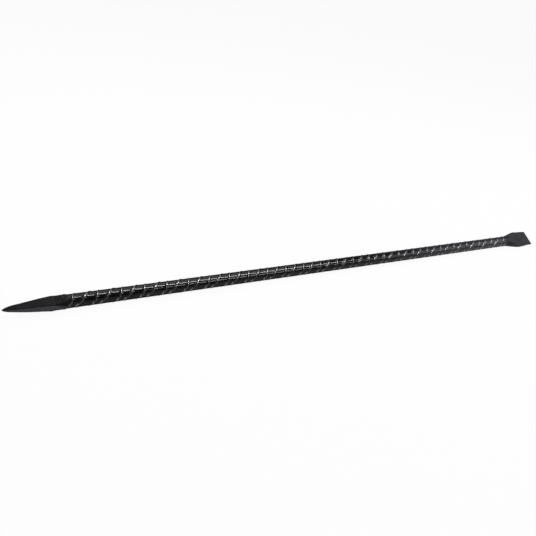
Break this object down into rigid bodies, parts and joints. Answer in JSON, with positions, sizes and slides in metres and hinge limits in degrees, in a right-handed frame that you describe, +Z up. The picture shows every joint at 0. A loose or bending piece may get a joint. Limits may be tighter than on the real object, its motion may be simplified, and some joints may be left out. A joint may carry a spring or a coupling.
{
  "type": "straight pry bar",
  "caption": "Long straight pry bar made from ribbed round bar, with a square taper point at one end and a flared flat chisel blade at the other.",
  "frame": {"origin": "on the ground, under the middle of the bar, with the bar lying as it comes to rest", "axes": "+X along the bar from the point towards the blade, +Z up; the blade's flats lean 30.6 degrees from level, because a blade corner and the shank's ribs touch the ground together"},
  "size_m": [1.5, 0.0442, 0.031],
  "materials": {
    "gloss_black_paint": "glossy black enamel, thin over the rolled ribs, pooled beside them",
    "point_black_paint": "satin black enamel over hammered forging scale",
    "blade_black_paint": "matt black enamel over hammered forging scale"
  },
  "bodies": {
    "root": {"ribbed_shank": "gloss_black_paint", "forged_point": "point_black_paint", "chisel_blade": "blade_black_paint"}
  },
  "joints": []
}
